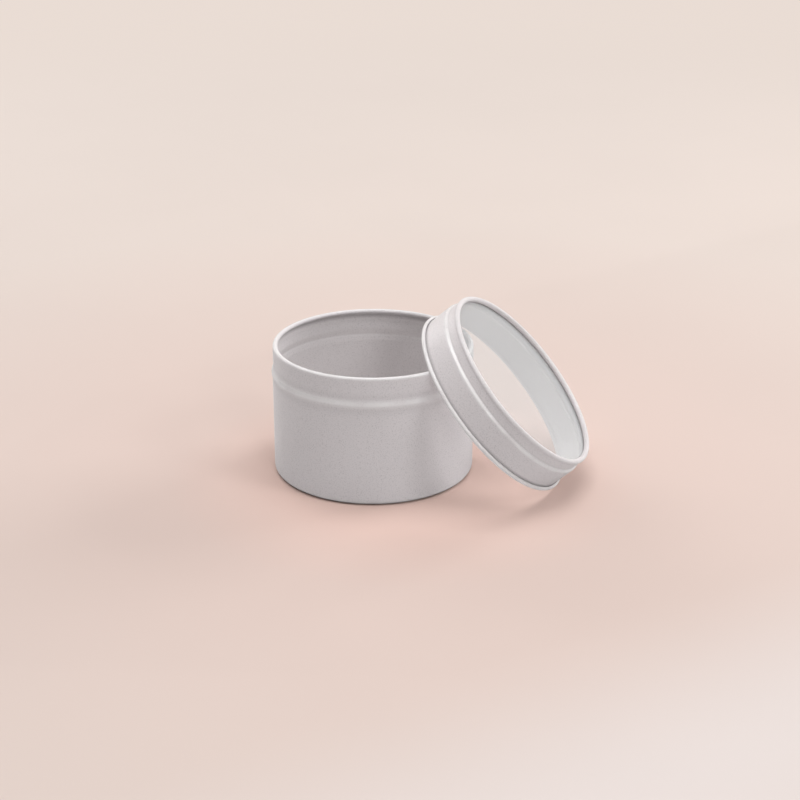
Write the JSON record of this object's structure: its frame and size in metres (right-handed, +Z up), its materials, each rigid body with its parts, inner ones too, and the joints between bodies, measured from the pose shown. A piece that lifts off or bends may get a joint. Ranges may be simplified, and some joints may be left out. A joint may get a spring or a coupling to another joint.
{
  "type": "window lid tin",
  "caption": "Round drawn steel tin with a beaded neck and rolled rim, open, with its slip lid leaning on the rim; the lid is a ring round a clear window.",
  "frame": {"origin": "centre of the tin's base, on the floor that the tin and the lid stand on", "axes": "+Z up along the tin's axis, +X from the tin towards the leaning lid"},
  "size_m": [0.1274, 0.083, 0.0716],
  "materials": {
    "tin_paint": "satin off-white paint with a fine grain",
    "lid_paint": "satin off-white paint with a fine grain",
    "window_film": "clear gloss plastic sheet"
  },
  "bodies": {
    "tin": {"tin_body": "tin_paint"},
    "lid": {"lid_ring": "lid_paint", "lid_window": "window_film"}
  },
  "joints": [
    {"name": "lid_lift", "type": "slide", "parent": "tin", "child": "lid", "axis": [0, 0, 1], "range_m": [0, 0.075]}
  ]
}
